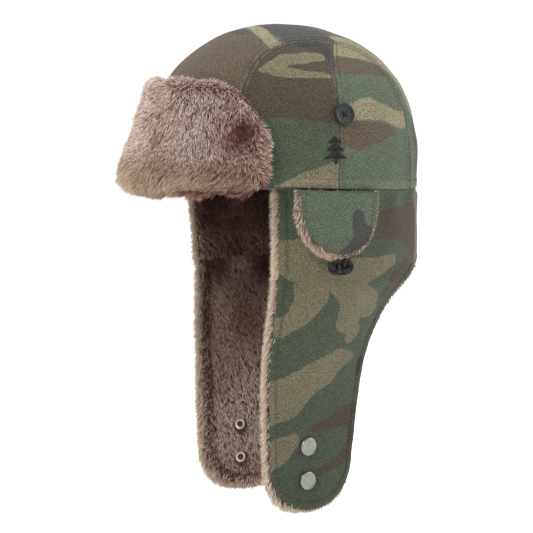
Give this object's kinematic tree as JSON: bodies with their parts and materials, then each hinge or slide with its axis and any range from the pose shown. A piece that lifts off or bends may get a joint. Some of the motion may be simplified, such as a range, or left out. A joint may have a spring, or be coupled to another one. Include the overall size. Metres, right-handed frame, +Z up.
{
  "type": "trapper hat",
  "caption": "Trapper hat with a paneled twill crown, folded-up fur brow flap, fur-lined ear flaps that hinge up, lifting ear vent flaps, side buttons and snap fasteners.",
  "frame": {"origin": "centre of the head opening, at the level of the crown's hem over the ears", "axes": "+Z up out of the crown, the wearer's face toward -Y, the wearer's left side at +X"},
  "size_m": [0.1882, 0.255, 0.3862],
  "materials": {
    "camo_twill": "washed cotton twill in woodland camouflage: green, brown, khaki and faded charcoal, with a fine diagonal weave",
    "brow_fur": "long faux fur, reddish brown with pale tips and khaki edges",
    "lining_fur": "short dense faux fur, dark brown with pale tips at its edges",
    "quilt_lining": "dark quilted lining with a low sheen",
    "thread": "dark brown sewing thread",
    "motif_thread": "dense satin-stitch embroidery in dark brown",
    "button_plastic": "moulded black plastic, satin with a raised rim",
    "snap_metal": "brushed nickel-plated metal",
    "elastic_cord": "braided black elastic cord"
  },
  "bodies": {
    "crown": {"crown_top_strip": "camo_twill", "left_front_side_panel": "camo_twill", "left_back_side_panel": "camo_twill", "right_front_side_panel": "camo_twill", "right_back_side_panel": "camo_twill", "ear_neck_cover_shell": "camo_twill", "brow_flap_shell": "camo_twill", "brow_flap_fur": "brow_fur", "ear_neck_cover_fur": "lining_fur", "crown_lining": "quilt_lining", "brow_tack_left": "thread", "brow_tack_right": "thread", "left_button_thread": "thread", "right_button_thread": "thread", "side_motif": "motif_thread", "left_button": "button_plastic", "right_button": "button_plastic"},
    "left_ear_flap": {"left_ear_flap_shell": "camo_twill", "left_ear_flap_fur": "lining_fur", "left_upper_snap_cap": "snap_metal", "left_lower_snap_cap": "snap_metal", "left_upper_snap_socket": "snap_metal", "left_lower_snap_socket": "snap_metal"},
    "right_ear_flap": {"right_ear_flap_shell": "camo_twill", "right_ear_flap_fur": "lining_fur", "right_upper_snap_stud": "snap_metal", "right_lower_snap_stud": "snap_metal", "right_upper_snap_eyelet": "snap_metal", "right_lower_snap_eyelet": "snap_metal"},
    "left_vent_flap": {"left_vent_flap_shell": "camo_twill", "left_vent_flap_fur": "lining_fur", "left_vent_loop": "elastic_cord"},
    "right_vent_flap": {"right_vent_flap_shell": "camo_twill", "right_vent_flap_fur": "lining_fur", "right_vent_loop": "elastic_cord"}
  },
  "joints": [
    {"name": "left_ear_fold", "type": "hinge", "parent": "crown", "child": "left_ear_flap", "pos_m": [0.09006, 0.02251, -0.077], "axis": [0.0819, -0.9966, 0], "range_deg": [-5, 185], "stiffness_Nm_per_rad": 0.1},
    {"name": "right_ear_fold", "type": "hinge", "parent": "crown", "child": "right_ear_flap", "pos_m": [-0.09006, 0.02251, -0.077], "axis": [0.0819, 0.9966, 0], "range_deg": [-5, 185], "stiffness_Nm_per_rad": 0.1},
    {"name": "left_vent_lift", "type": "hinge", "parent": "crown", "child": "left_vent_flap", "pos_m": [0.094, 0.00006, 0.001], "axis": [0, -0.9983, 0.0576], "range_deg": [0, 180], "stiffness_Nm_per_rad": 0.01},
    {"name": "right_vent_lift", "type": "hinge", "parent": "crown", "child": "right_vent_flap", "pos_m": [-0.094, 0.00006, 0.001], "axis": [0, 0.9983, -0.0576], "range_deg": [0, 180], "stiffness_Nm_per_rad": 0.01}
  ]
}
